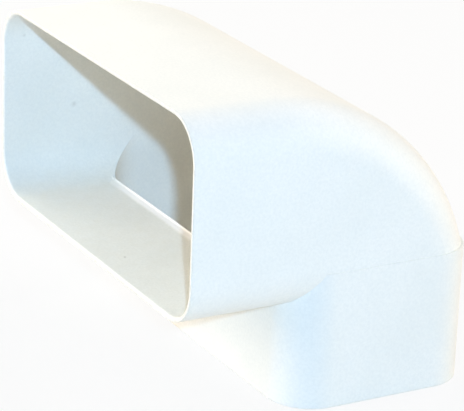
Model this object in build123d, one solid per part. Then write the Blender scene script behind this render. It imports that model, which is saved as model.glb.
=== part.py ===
from build123d import *
import os

# Flat duct vertical bend: one moulded shell that turns a flat duct through a right angle across its thin side.
# X runs along the duct's width, the mouth faces -Y, the outlet faces down and its rim lies on z = 0.
# The origin is the centre of the outlet's opening. All sizes are in millimetres.

# Duct that slides into both sockets
DUCT_WIDTH = 150.0
DUCT_HEIGHT = 70.0
SLIP = 0.2  # room on each side between duct and socket

# Shell
WALL = 1.7
SOCKET_CORNER = 14.1  # inside corner radius of both sockets
MOUTH_REACH = 39.7  # mouth rim to the outlet's front face
OUTLET_DROP = 36.3  # outlet rim to the underside of the mouth leg
OUTLET_PROUD = 0.3  # the outlet socket stands this much outside the bend at its front and sides
HEEL_RISE = 13.5  # the outlet socket's top above the underside of the mouth leg
HEEL_LEAD = 5.4  # the heel's curve begins this far ahead of the outlet's front face
HEEL_SETBACK = 1.0  # the heel comes down this far inside the outlet socket's back face

# Lip across the inside of the crotch, where the mouth's floor turns up and stops the duct
LIP_RAMP = 14.0  # radius of the shallow hollow ramp
LIP_RAMP_TURN = 16.0  # degrees that the ramp turns up
LIP_FACE = 0.8  # radius of the tight hollow between ramp and crest
LIP_FACE_TURN = 46.0  # degrees that the tight hollow turns up
LIP_EDGE = 0.35  # radius of the crest
LIP_ROOT = 0.05  # the ramp begins this far inside the floor that carries it

# Rims
LEAD_IN = 1.0  # rounding that guides the duct in
RIM_EDGE = 0.2  # rounding of the rim's outside edge

# Cutting bodies run this far past an open rim.
OVERRUN = 5.0
# The heel's sector reaches this share of the mouth's height inwards.
HEEL_CORE = 0.62

socket_width = DUCT_WIDTH + 2 * SLIP
socket_height = DUCT_HEIGHT + 2 * SLIP
mouth_width = socket_width + 2 * WALL
mouth_height = socket_height + 2 * WALL
outlet_wall = WALL + OUTLET_PROUD
outlet_depth = socket_height + 2 * outlet_wall

front_y = -outlet_depth / 2
back_y = outlet_depth / 2
mouth_y = front_y - MOUTH_REACH
heel_y = front_y - HEEL_LEAD
floor_z = OUTLET_DROP
top_z = OUTLET_DROP + mouth_height
shoulder_z = OUTLET_DROP + HEEL_RISE

# The heel's arc leaves the top face tangent and runs down to the outlet socket's shoulder.
heel_run = back_y - HEEL_SETBACK - heel_y
heel_fall = top_z - shoulder_z
heel_radius = (heel_run**2 + heel_fall**2) / (2 * heel_fall)
heel_z = top_z - heel_radius

# Inside the crotch the mouth's floor ends at the outlet's front wall, and the two passages meet on a mitre.
lip_y = front_y + outlet_wall
lip_z = floor_z + WALL
mitre = Plane(origin=(0, lip_y, lip_z), x_dir=(1, 0, 0), z_dir=(0, -1, 1))


def across(y, z):
    """Plane square to the mouth leg, with local x along the width and local y up."""
    return Plane(origin=(0, y, z), x_dir=(1, 0, 0), z_dir=(0, -1, 0))


def part_rounded(width, height, corner, side):
    """Rectangle standing on its lower edge, with two corners rounded: those at its foot or at its head."""
    blank = Pos(0, height / 2) * Rectangle(width, height)
    ends = blank.vertices().group_by(Axis.Y)
    return fillet(ends[0] if side == "foot" else ends[-1], corner)


def along_y(section, length):
    return extrude(section, amount=length, dir=(0, 1, 0))


def block(width, y_range, z_range):
    size = Box(width, y_range[1] - y_range[0], z_range[1] - z_range[0])
    return Pos(0, sum(y_range) / 2, sum(z_range) / 2) * size


def heel(inset, behind):
    """Curved back of the bend, inset by this much, as far as it lies within the body given as behind."""
    radius = heel_radius - inset
    core = heel_radius - HEEL_CORE * mouth_height
    section = part_rounded(mouth_width - 2 * inset, radius - core, SOCKET_CORNER + WALL - inset, "head")
    hub = Axis((0, heel_y, heel_z), (-1, 0, 0))
    return revolve(across(heel_y, heel_z + core) * section, hub, 90) & behind


def outside():
    corner = SOCKET_CORNER + WALL
    half = mouth_height / 2
    foot = part_rounded(mouth_width, half, corner, "foot")
    mouth_section = RectangleRounded(mouth_width, mouth_height, corner)
    mouth_leg = along_y(across(mouth_y, floor_z + half) * mouth_section, heel_y - mouth_y)
    sill = along_y(across(heel_y, floor_z) * foot, -heel_y)
    throat = Pos(0, -half, floor_z) * extrude(foot, amount=half)
    above = block(2 * mouth_width, (heel_y, 2 * back_y), (shoulder_z, top_z + OVERRUN))
    outlet_section = RectangleRounded(mouth_width + 2 * OUTLET_PROUD, outlet_depth, corner + OUTLET_PROUD)
    outlet_leg = extrude(outlet_section, amount=shoulder_z)
    return mouth_leg + sill + throat + heel(0, above) + outlet_leg


def passage():
    half = socket_height / 2
    foot = part_rounded(socket_width, half, SOCKET_CORNER, "foot")
    socket = RectangleRounded(socket_width, socket_height, SOCKET_CORNER)
    mouth_leg = along_y(across(mouth_y - OVERRUN, lip_z + half) * socket, heel_y - mouth_y + OVERRUN)
    sill = split(along_y(across(heel_y, lip_z) * foot, -heel_y), mitre, Keep.TOP)
    drop = split(Pos(0, lip_y, lip_z) * extrude(foot, amount=half), mitre, Keep.BOTTOM)
    outlet_leg = Pos(0, 0, -OVERRUN) * extrude(socket, amount=lip_z + OVERRUN)
    back_section = part_rounded(socket_width, half - heel_y, SOCKET_CORNER, "head")
    back = Pos(0, heel_y, lip_z) * extrude(back_section, amount=top_z - lip_z)
    return mouth_leg + sill + drop + outlet_leg + heel(WALL, back)


def lip():
    """Bar along the end of the mouth's floor: a hollow face towards the mouth and a rounded crest."""
    ramp = JernArc((0, 0), (1, 0), LIP_RAMP, LIP_RAMP_TURN)
    face = JernArc(ramp @ 1, ramp % 1, LIP_FACE, LIP_FACE_TURN)
    crest = JernArc(face @ 1, face % 1, LIP_EDGE, -(LIP_RAMP_TURN + LIP_FACE_TURN + 90))
    nose = crest @ 1
    under = Polyline(nose, (nose.X, 0), (0, 0))
    section = Pos(lip_y - nose.X, lip_z - LIP_ROOT) * make_face([ramp, face, crest, under])
    # The ends stop where the rising corners of the socket have covered the crest.
    cover = section.bounding_box().max.Y - lip_z + LIP_EDGE
    reach = socket_width / 2 - SOCKET_CORNER + (2 * SOCKET_CORNER * cover - cover**2) ** 0.5
    end = Plane(origin=(-reach, 0, 0), x_dir=(0, 1, 0), z_dir=(1, 0, 0))
    return extrude(end * section, amount=2 * reach)


def rim_edges(shell, axis, level):
    """Outer and inner edge loops of the rim that lies at this level along the axis."""
    rim = shell.faces().filter_by(axis).sort_by(lambda face: abs(face.center().dot(axis.direction) - level))[0]
    return rim.outer_wire().edges(), rim.inner_wires()[0].edges()


bend_shell = outside() - passage() + lip()
for axis, level in ((Axis.Y, mouth_y), (Axis.Z, 0)):
    _, inner = rim_edges(bend_shell, axis, level)
    bend_shell = fillet(inner, LEAD_IN)
    outer, _ = rim_edges(bend_shell, axis, level)
    bend_shell = fillet(outer, RIM_EDGE)

os.makedirs("parts", exist_ok=True)
export_step(bend_shell, "parts/bend_shell.step")
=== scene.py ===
import math

import bpy
from bpy.props import FloatProperty, FloatVectorProperty, PointerProperty
from mathutils import Matrix, Vector


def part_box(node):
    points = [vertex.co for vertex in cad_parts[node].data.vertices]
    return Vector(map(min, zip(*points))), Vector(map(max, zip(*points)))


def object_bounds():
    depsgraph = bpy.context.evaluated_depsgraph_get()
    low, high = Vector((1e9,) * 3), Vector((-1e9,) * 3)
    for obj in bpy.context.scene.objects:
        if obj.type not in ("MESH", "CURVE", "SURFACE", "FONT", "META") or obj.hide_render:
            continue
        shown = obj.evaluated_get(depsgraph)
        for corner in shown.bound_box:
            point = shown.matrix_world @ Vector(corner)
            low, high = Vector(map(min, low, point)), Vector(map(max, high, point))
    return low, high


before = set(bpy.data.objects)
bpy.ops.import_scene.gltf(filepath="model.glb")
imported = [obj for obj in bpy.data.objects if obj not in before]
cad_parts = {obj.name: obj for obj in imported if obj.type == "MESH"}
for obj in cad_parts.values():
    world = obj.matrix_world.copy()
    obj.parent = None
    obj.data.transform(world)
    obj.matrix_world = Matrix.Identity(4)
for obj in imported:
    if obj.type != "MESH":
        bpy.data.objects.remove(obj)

CAD_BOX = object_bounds()

bl_info = {
    "name": "Flat Duct Bend",
    "version": (1, 0, 0),
    "blender": (4, 5, 0),
    "location": "3D View > Sidebar > Duct Bend",
    "description": "Gives a flat duct bend its moulded plastic finish and sets a plain stage round it",
    "category": "Object",
}

MM = 0.001
SHELL = "bend_shell"

# Levels that the finish follows, read from the shell: the mouth's rim, the outlet's rim and the top face
SHELL_LOW, SHELL_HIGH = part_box(SHELL)
MOUTH_Y = SHELL_LOW.y
OUTLET_Z = SHELL_LOW.z
TOP_Z = SHELL_HIGH.z

# Lip across the end of the mouth's floor: a line along X through the middle of its hollow face
LIP_Y = -36.2 * MM
LIP_Z = 38.5 * MM
LIP_HALF = 66.0 * MM  # half its length
HIGHLIGHT_CORE = 0.6  # share of its reach within which the painted highlight is full
HIGHLIGHT_LENGTH = 0.8  # share of the lip's length along which the painted highlight is full

# Dust lies below this depth under the top face, and only where the normal's upward part is large enough.
DUST_BELOW_TOP = 30.0 * MM
DUST_SLIDES = 0.55  # upward part at which dust begins to hold
DUST_STAYS = 0.98  # upward part at which it lies in full

# Dark specks caught in the inside skin: place, radius and strength
SPECKS = (
    (Vector((-75.2, -68.8, 96.6)) * MM, 0.9 * MM, 0.18),
    (Vector((-75.2, -47.9, 67.0)) * MM, 1.4 * MM, 0.2),
    (Vector((8.5, -66.9, 38.0)) * MM, 0.6 * MM, 0.7),
)
# A speck has its full strength within this share of its radius.
SPECK_CORE = 0.1

# Softboxes: name, compass angle and height angle seen from the part in degrees, distance and side in metres,
# and hex colour. The front one is as small as a bare lamp, so that it casts a clear shadow inside the mouth.
SOFTBOXES = (
    ("back", 180.0, 50.0, 1.4, 0.9, "FFF5EF"),
    ("front", 63.4, 23.25, 1.6, 0.037, "AED7FF"),
    ("left", -75.0, 35.0, 1.3, 0.9, "FCFFFA"),
    ("fill", -20.0, 20.0, 1.3, 0.9, "FFEEE0"),
    ("right", 142.0, 18.0, 1.4, 0.9, "FFEACD"),
)

# The floor lies this far under the outlet's rim, so that the two faces don't share a plane.
FLOOR_GAP = 0.05 * MM
SENSOR_WIDTH = 36.0  # of the camera, in millimetres
WHITE = (1, 1, 1, 1)

# Sockets of a Mix node that mixes colours: the share of the second colour, the two colours and the result
MIX_SHARE = 0
MIX_FIRST = 6
MIX_SECOND = 7
MIX_RESULT = 2


def linear(hex_digits):
    """Linear red, green and blue of an sRGB colour written as six hex digits."""
    parts = [int(hex_digits[i:i + 2], 16) / 255 for i in (0, 2, 4)]
    return tuple(c / 12.92 if c <= 0.04045 else ((c + 0.055) / 1.055) ** 2.4 for c in parts)


def add_node(tree, kind, inputs=None, **settings):
    """Adds a node with its settings; each input is given a value, or the output socket that feeds it."""
    made = tree.nodes.new(kind)
    for name, value in settings.items():
        setattr(made, name, value)
    for key, value in (inputs or {}).items():
        if isinstance(value, bpy.types.NodeSocket):
            tree.links.new(value, made.inputs[key])
        else:
            made.inputs[key].default_value = value
    return made


def toward(compass, height):
    """Unit vector from the part towards a compass angle, counted from -Y to +X, and a height angle."""
    flat = math.cos(height)
    return Vector((math.sin(compass) * flat, -math.cos(compass) * flat, math.sin(height)))


def colour_property(name, description, hex_digits):
    return FloatVectorProperty(
        name=name, description=description, subtype="COLOR", min=0.0, max=1.0, default=linear(hex_digits)
    )


def length_property(name, description, millimetres):
    return FloatProperty(name=name, description=description, unit="LENGTH", min=0.0, default=millimetres * MM)


def share_property(name, description, share):
    return FloatProperty(
        name=name, description=description, subtype="FACTOR", min=0.0, max=1.0, default=share
    )


def power_property(name, description, watts):
    return FloatProperty(name=name, description=description, unit="POWER", min=0.0, default=watts)


def angle_property(name, description, degrees):
    return FloatProperty(name=name, description=description, subtype="ANGLE", default=math.radians(degrees))


class BendPlasticSettings(bpy.types.PropertyGroup):
    """Colours and pattern sizes of the moulded plastic."""

    white: colour_property("White", "Colour of the plastic", "FAF9F1")
    cloud: colour_property("Cloud", "Colour that the white drifts to in broad patches", "F5F5ED")
    mottle: colour_property("Mottle", "Colour of the fine mottling in the white", "E8E9E3")
    dust: colour_property("Dust", "Colour of the dust on the inside floor", "D9D2B8")
    # The lip's colour is a painted highlight: a lighter white in place of the light its face catches.
    painted_highlight: colour_property("Painted Highlight", "Colour of the highlight painted on the lip's face", "FEFDF8")
    speck: colour_property("Speck", "Colour of the small specks in the plastic", "857C6C")
    scuff: colour_property("Scuff", "Colour of the handled rims", "DDDACC")
    cloud_size: length_property("Cloud Size", "Width of a patch of the drifting colour", 38.0)
    mottle_size: length_property("Mottle Size", "Width of a spot of the fine mottling", 1.0)
    dust_size: length_property("Dust Size", "Width of a patch of dust", 4.0)
    scuff_size: length_property("Scuff Size", "Width of a patch of the handling marks", 2.2)
    sheen_size: length_property("Sheen Size", "Width of a patch of the uneven sheen", 5.0)
    grain_size: length_property("Grain Size", "Width of a grain of the mould's matt texture", 1.0)
    grain_depth: length_property("Grain Depth", "Depth of the mould's matt texture", 0.06)
    sink_size: length_property("Sink Size", "Width of the slow waves left where the walls shrank", 24.0)
    sink_depth: length_property("Sink Depth", "Depth of the slow waves left where the walls shrank", 0.05)
    # Reach of the painted highlight on the lip's face
    highlight_reach: length_property("Lip Reach", "How far the painted highlight reaches from the lip's middle", 2.4)
    rim_reach: length_property("Rim Reach", "How far the handling marks reach from a rim", 0.8)
    mottle_share: share_property("Mottle Share", "How strongly the fine mottling shows", 0.36)
    dust_thin: share_property("Thin Dust", "How much the thinnest dust hides", 0.06)
    dust_thick: share_property("Thick Dust", "How much the thickest dust hides", 0.18)
    scuff_faint: share_property("Faint Scuff", "How strongly the faintest handling marks show", 0.2)
    scuff_strong: share_property("Strong Scuff", "How strongly the strongest handling marks show", 0.55)
    satin_smooth: share_property("Smooth Satin", "Roughness where the sheen is clearest", 0.44)
    satin_rough: share_property("Rough Satin", "Roughness where the sheen is dullest", 0.54)
    worn_rough: share_property("Worn", "Roughness that full wear or dust would add", 0.3)


class BendStageSettings(bpy.types.PropertyGroup):
    """Floor, light and camera."""

    floor_colour: colour_property("Floor", "Colour of the floor", "E6E6E3")
    floor_side: length_property("Floor Side", "Side of the square floor", 1900.0)
    floor_white: share_property("Floor White", "How much plain white the camera sees in the floor", 0.85)
    back_power: power_property("Back", "Power of the softbox above and behind", 8.7)
    front_power: power_property("Front", "Power of the small lamp beside the camera", 17.4)
    left_power: power_property("Left", "Power of the softbox high on the far left", 9.8)
    fill_power: power_property("Fill", "Power of the softbox that faces the mouth", 13.0)
    right_power: power_property("Right", "Power of the softbox behind on the right", 8.1)
    room_light: FloatProperty(
        name="Room Light", description="Strength of the even light from all round", min=0.0, default=0.02
    )
    view_compass: angle_property("View Compass", "Camera's angle from -Y towards +X", 60.749)
    view_height: angle_property("View Height", "Camera's angle above the horizon", 20.415)
    view_roll: angle_property("View Roll", "Camera's turn about its line of sight", 2.123)
    view_distance: length_property("View Distance", "Camera to aim", 907.22)
    view_aim: FloatVectorProperty(
        name="View Aim", description="Point that the camera looks at", subtype="XYZ", unit="LENGTH",
        default=(2.32 * MM, -20.91 * MM, 48.53 * MM),
    )
    view_lens: FloatProperty(
        name="View Lens", description="Focal length of the camera", unit="CAMERA", min=1.0, default=194.43
    )


def moulded_white_pvc(plastic):
    """Rigid white PVC from a textured mould.

    It gives the eye a warm white with a soft satin sheen: broad clouds and a fine mottling in the white,
    a faint matt grain, slow waves where the walls shrank, dust on what faces up inside, dull marks on the
    rims, a painted highlight along the lip and three dark specks in the inside skin.
    """
    material = bpy.data.materials.new("Moulded white PVC")
    material.use_nodes = True
    tree = material.node_tree
    tree.nodes.clear()
    place = add_node(tree, "ShaderNodeTexCoord").outputs["Object"]
    axes = add_node(tree, "ShaderNodeSeparateXYZ", {0: place}).outputs
    facing = add_node(tree, "ShaderNodeNewGeometry").outputs["Normal"]
    upward = add_node(tree, "ShaderNodeSeparateXYZ", {0: facing}).outputs["Z"]

    # Broad clouds in the white
    clouds = add_node(tree, "ShaderNodeTexNoise", {
        "Vector": place, "Scale": 1 / plastic.cloud_size, "Detail": 3.0, "Roughness": 0.55})
    cloudy = add_node(tree, "ShaderNodeMapRange", {
        "Value": clouds.outputs["Fac"], "From Min": 0.38, "From Max": 0.68})
    colour = add_node(tree, "ShaderNodeMix", {
        MIX_SHARE: cloudy.outputs[0], MIX_FIRST: (*plastic.white, 1), MIX_SECOND: (*plastic.cloud, 1)},
        data_type="RGBA").outputs[MIX_RESULT]

    # Fine mottling of the filler in the white. The real spots are a few tenths of a millimetre wide,
    # too fine to show, so they are drawn coarser.
    spots = add_node(tree, "ShaderNodeTexNoise", {
        "Vector": place, "Scale": 1 / plastic.mottle_size, "Detail": 2.0, "Roughness": 0.6})
    mottled = add_node(tree, "ShaderNodeMapRange", {
        "Value": spots.outputs["Fac"], "From Min": 0.35, "From Max": 0.65, "To Max": plastic.mottle_share})
    colour = add_node(tree, "ShaderNodeMix", {
        MIX_SHARE: mottled.outputs[0], MIX_FIRST: colour, MIX_SECOND: (*plastic.mottle, 1)},
        data_type="RGBA").outputs[MIX_RESULT]

    # Dust lies in loose patches on what faces up below the top face.
    flat = add_node(tree, "ShaderNodeMapRange", {
        "Value": upward, "From Min": DUST_SLIDES, "From Max": DUST_STAYS})
    below = add_node(tree, "ShaderNodeMath", {
        0: axes["Z"], 1: TOP_Z - DUST_BELOW_TOP}, operation="LESS_THAN")
    patches = add_node(tree, "ShaderNodeTexNoise", {
        "Vector": place, "Scale": 1 / plastic.dust_size, "Detail": 4.0, "Roughness": 0.6})
    thick = add_node(tree, "ShaderNodeMapRange", {
        "Value": patches.outputs["Fac"], "From Min": 0.35, "From Max": 0.75,
        "To Min": plastic.dust_thin, "To Max": plastic.dust_thick})
    settled = add_node(tree, "ShaderNodeMath", {
        0: flat.outputs[0], 1: below.outputs[0]}, operation="MULTIPLY")
    dusty = add_node(tree, "ShaderNodeMath", {
        0: settled.outputs[0], 1: thick.outputs[0]}, operation="MULTIPLY")
    colour = add_node(tree, "ShaderNodeMix", {
        MIX_SHARE: dusty.outputs[0], MIX_FIRST: colour, MIX_SECOND: (*plastic.dust, 1)},
        data_type="RGBA").outputs[MIX_RESULT]

    # Handling marks fade out behind the edge of each rim, and are broken into small patches.
    at_mouth = add_node(tree, "ShaderNodeMapRange", {
        "Value": axes["Y"], "From Min": MOUTH_Y, "From Max": MOUTH_Y + plastic.rim_reach,
        "To Min": 1.0, "To Max": 0.0})
    at_outlet = add_node(tree, "ShaderNodeMapRange", {
        "Value": axes["Z"], "From Min": OUTLET_Z, "From Max": OUTLET_Z + plastic.rim_reach,
        "To Min": 1.0, "To Max": 0.0})
    at_rim = add_node(tree, "ShaderNodeMath", {
        0: at_mouth.outputs[0], 1: at_outlet.outputs[0]}, operation="MAXIMUM")
    breaks = add_node(tree, "ShaderNodeTexNoise", {
        "Vector": place, "Scale": 1 / plastic.scuff_size, "Detail": 4.0, "Roughness": 0.6})
    broken = add_node(tree, "ShaderNodeMapRange", {
        "Value": breaks.outputs["Fac"], "From Min": 0.4, "From Max": 0.7,
        "To Min": plastic.scuff_faint, "To Max": plastic.scuff_strong})
    scuffed = add_node(tree, "ShaderNodeMath", {
        0: at_rim.outputs[0], 1: broken.outputs[0]}, operation="MULTIPLY")
    colour = add_node(tree, "ShaderNodeMix", {
        MIX_SHARE: scuffed.outputs[0], MIX_FIRST: colour, MIX_SECOND: (*plastic.scuff, 1)},
        data_type="RGBA").outputs[MIX_RESULT]

    # Painted highlight: the lip's face is drawn in a lighter white in place of the light it catches, less so
    # towards its ends.
    section = add_node(tree, "ShaderNodeVectorMath", {0: place, 1: (0, 1, 1)}, operation="MULTIPLY")
    from_lip = add_node(tree, "ShaderNodeVectorMath", {
        0: section.outputs[0], 1: (0, LIP_Y, LIP_Z)}, operation="DISTANCE")
    near_lip = add_node(tree, "ShaderNodeMapRange", {
        "Value": from_lip.outputs["Value"],
        "From Min": HIGHLIGHT_CORE * plastic.highlight_reach, "From Max": plastic.highlight_reach,
        "To Min": 1.0, "To Max": 0.0})
    aside = add_node(tree, "ShaderNodeMath", {0: axes["X"]}, operation="ABSOLUTE")
    within = add_node(tree, "ShaderNodeMapRange", {
        "Value": aside.outputs[0], "From Min": HIGHLIGHT_LENGTH * LIP_HALF, "From Max": LIP_HALF,
        "To Min": 1.0, "To Max": 0.0})
    highlight_share = add_node(tree, "ShaderNodeMath", {
        0: near_lip.outputs[0], 1: within.outputs[0]}, operation="MULTIPLY")
    colour = add_node(tree, "ShaderNodeMix", {
        MIX_SHARE: highlight_share.outputs[0], MIX_FIRST: colour, MIX_SECOND: (*plastic.painted_highlight, 1)},
        data_type="RGBA").outputs[MIX_RESULT]

    # Specks with soft edges
    for spot, radius, strength in SPECKS:
        away = add_node(tree, "ShaderNodeVectorMath", {0: place, 1: spot}, operation="DISTANCE")
        dark = add_node(tree, "ShaderNodeMapRange", {
            "Value": away.outputs["Value"], "From Min": SPECK_CORE * radius, "From Max": radius,
            "To Min": strength, "To Max": 0.0})
        colour = add_node(tree, "ShaderNodeMix", {
            MIX_SHARE: dark.outputs[0], MIX_FIRST: colour, MIX_SECOND: (*plastic.speck, 1)},
            data_type="RGBA").outputs[MIX_RESULT]

    # Sheen: satin, a little uneven, and duller where it is scuffed or dusty
    uneven = add_node(tree, "ShaderNodeTexNoise", {
        "Vector": place, "Scale": 1 / plastic.sheen_size, "Detail": 4.0, "Roughness": 0.6})
    satin = add_node(tree, "ShaderNodeMapRange", {
        "Value": uneven.outputs["Fac"], "From Min": 0.3, "From Max": 0.7,
        "To Min": plastic.satin_smooth, "To Max": plastic.satin_rough})
    worn = add_node(tree, "ShaderNodeMath", {
        0: scuffed.outputs[0], 1: dusty.outputs[0]}, operation="MAXIMUM")
    rough = add_node(tree, "ShaderNodeMath", {
        0: worn.outputs[0], 1: plastic.worn_rough, 2: satin.outputs[0]}, operation="MULTIPLY_ADD")

    # Relief in millimetres. The mould's own grain is near 0.1 mm wide, too fine to show,
    # so it is drawn coarser and deeper.
    grain = add_node(tree, "ShaderNodeTexNoise", {
        "Vector": place, "Scale": 1 / plastic.grain_size, "Detail": 2.0, "Roughness": 0.6})
    waves = add_node(tree, "ShaderNodeTexNoise", {
        "Vector": place, "Scale": 1 / plastic.sink_size, "Detail": 1.0, "Roughness": 0.4})
    slow = add_node(tree, "ShaderNodeMath", {
        0: waves.outputs["Fac"], 1: plastic.sink_depth / MM}, operation="MULTIPLY")
    relief = add_node(tree, "ShaderNodeMath", {
        0: grain.outputs["Fac"], 1: plastic.grain_depth / MM, 2: slow.outputs[0]}, operation="MULTIPLY_ADD")
    bump = add_node(tree, "ShaderNodeBump", {"Strength": 1.0, "Distance": MM, "Height": relief.outputs[0]})

    surface = add_node(tree, "ShaderNodeBsdfPrincipled", {
        "Base Color": colour, "Roughness": rough.outputs[0], "Normal": bump.outputs["Normal"], "IOR": 1.53})
    add_node(tree, "ShaderNodeOutputMaterial", {"Surface": surface.outputs[0]})
    return material


def looking(tree):
    """Output that is 1 for the rays that show a background: the camera's own, mirrored and refracted ones."""
    ray = add_node(tree, "ShaderNodeLightPath").outputs
    bent = add_node(tree, "ShaderNodeMath", {
        0: ray["Is Glossy Ray"], 1: ray["Is Transmission Ray"]}, operation="MAXIMUM")
    return add_node(tree, "ShaderNodeMath", {
        0: ray["Is Camera Ray"], 1: bent.outputs[0]}, operation="MAXIMUM").outputs[0]


def pale_floor(stage):
    """Matt painted board, pale and plain: near white to the camera, with the part's own soft shadow on it."""
    material = bpy.data.materials.new("Matt painted board")
    material.use_nodes = True
    tree = material.node_tree
    tree.nodes.clear()
    share = add_node(tree, "ShaderNodeMath", {0: looking(tree), 1: stage.floor_white}, operation="MULTIPLY")
    board = add_node(tree, "ShaderNodeBsdfDiffuse", {"Color": (*stage.floor_colour, 1)})
    white = add_node(tree, "ShaderNodeEmission", {"Color": WHITE, "Strength": 1.0})
    mix = add_node(tree, "ShaderNodeMixShader", {
        0: share.outputs[0], 1: board.outputs[0], 2: white.outputs[0]})
    add_node(tree, "ShaderNodeOutputMaterial", {"Surface": mix.outputs[0]})
    return material


def light_room(stage):
    """Even light from all round, which the camera sees as plain white."""
    world = bpy.data.worlds.new("Plain room")
    bpy.context.scene.world = world
    world.use_nodes = True
    tree = world.node_tree
    tree.nodes.clear()
    room = add_node(tree, "ShaderNodeBackground", {"Color": WHITE, "Strength": stage.room_light})
    white = add_node(tree, "ShaderNodeBackground", {"Color": WHITE, "Strength": 1.0})
    mix = add_node(tree, "ShaderNodeMixShader", {0: looking(tree), 1: room.outputs[0], 2: white.outputs[0]})
    add_node(tree, "ShaderNodeOutputWorld", {"Surface": mix.outputs[0]})


def hang_softboxes(stage):
    """Square area lamps round the part, each turned to its middle."""
    centre = (CAD_BOX[0] + CAD_BOX[1]) / 2
    for name, compass, height, distance, side, hex_digits in SOFTBOXES:
        away = toward(math.radians(compass), math.radians(height))
        bpy.ops.object.light_add(type="AREA", location=centre + away * distance)
        lamp = bpy.context.object
        lamp.name = "softbox_" + name
        lamp.rotation_euler = away.to_track_quat("Z", "Y").to_euler()
        lamp.data.size = side
        lamp.data.energy = getattr(stage, name + "_power")
        lamp.data.color = linear(hex_digits)


def set_camera(stage):
    """Camera at the photograph's viewing angle: it looks at the aim, turned about its line of sight."""
    back = toward(stage.view_compass, stage.view_height)
    level = Vector((0, 0, 1)).cross(back).normalized()
    upright = back.cross(level)
    roll = stage.view_roll
    right = level * math.cos(roll) + upright * math.sin(roll)
    up = upright * math.cos(roll) - level * math.sin(roll)
    bpy.ops.object.camera_add()
    camera = bpy.context.object
    camera.name = "photo_camera"
    turn = Matrix((right, up, back)).transposed().to_4x4()
    camera.matrix_world = Matrix.Translation(Vector(stage.view_aim) + back * stage.view_distance) @ turn
    camera.data.lens = stage.view_lens
    camera.data.sensor_width = SENSOR_WIDTH
    bpy.context.scene.camera = camera


class OBJECT_OT_finish_bend_shell(bpy.types.Operator):
    """Give the bend's shell its moulded white plastic"""

    bl_idname = "object.finish_bend_shell"
    bl_label = "Finish Bend Shell"

    def execute(self, context):
        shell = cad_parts[SHELL]
        shell.data.materials.clear()
        shell.data.materials.append(moulded_white_pvc(context.scene.bend_plastic))
        return {"FINISHED"}


class SCENE_OT_set_bend_stage(bpy.types.Operator):
    """Lay the pale floor, hang the softboxes and set the camera"""

    bl_idname = "scene.set_bend_stage"
    bl_label = "Set Stage"

    def execute(self, context):
        stage = context.scene.bend_stage
        bpy.ops.object.select_all(action="DESELECT")
        bpy.ops.mesh.primitive_plane_add(size=stage.floor_side, location=(0, 0, OUTLET_Z - FLOOR_GAP))
        bpy.ops.object.transform_apply(location=True, rotation=True, scale=True)
        floor = context.object
        floor.name = "stage_floor"
        floor.data.materials.append(pale_floor(stage))
        light_room(stage)
        hang_softboxes(stage)
        set_camera(stage)
        context.scene.view_settings.view_transform = "Standard"
        return {"FINISHED"}


class VIEW3D_PT_duct_bend(bpy.types.Panel):
    """Settings and steps of the flat duct bend"""

    bl_label = "Duct Bend"
    bl_space_type = "VIEW_3D"
    bl_region_type = "UI"
    bl_category = "Duct Bend"

    def draw(self, context):
        layout = self.layout
        for settings, step in (
            (context.scene.bend_plastic, OBJECT_OT_finish_bend_shell.bl_idname),
            (context.scene.bend_stage, SCENE_OT_set_bend_stage.bl_idname),
        ):
            box = layout.box()
            for name in settings.__annotations__:
                box.prop(settings, name)
            box.operator(step)


CLASSES = (
    BendPlasticSettings,
    BendStageSettings,
    OBJECT_OT_finish_bend_shell,
    SCENE_OT_set_bend_stage,
    VIEW3D_PT_duct_bend,
)


def register():
    for cls in CLASSES:
        bpy.utils.register_class(cls)
    bpy.types.Scene.bend_plastic = PointerProperty(type=BendPlasticSettings)
    bpy.types.Scene.bend_stage = PointerProperty(type=BendStageSettings)


def unregister():
    del bpy.types.Scene.bend_stage
    del bpy.types.Scene.bend_plastic
    for cls in reversed(CLASSES):
        bpy.utils.unregister_class(cls)


def main():
    register()
    bpy.ops.object.finish_bend_shell()
    bpy.ops.scene.set_bend_stage()


if __name__ == "__main__":
    main()
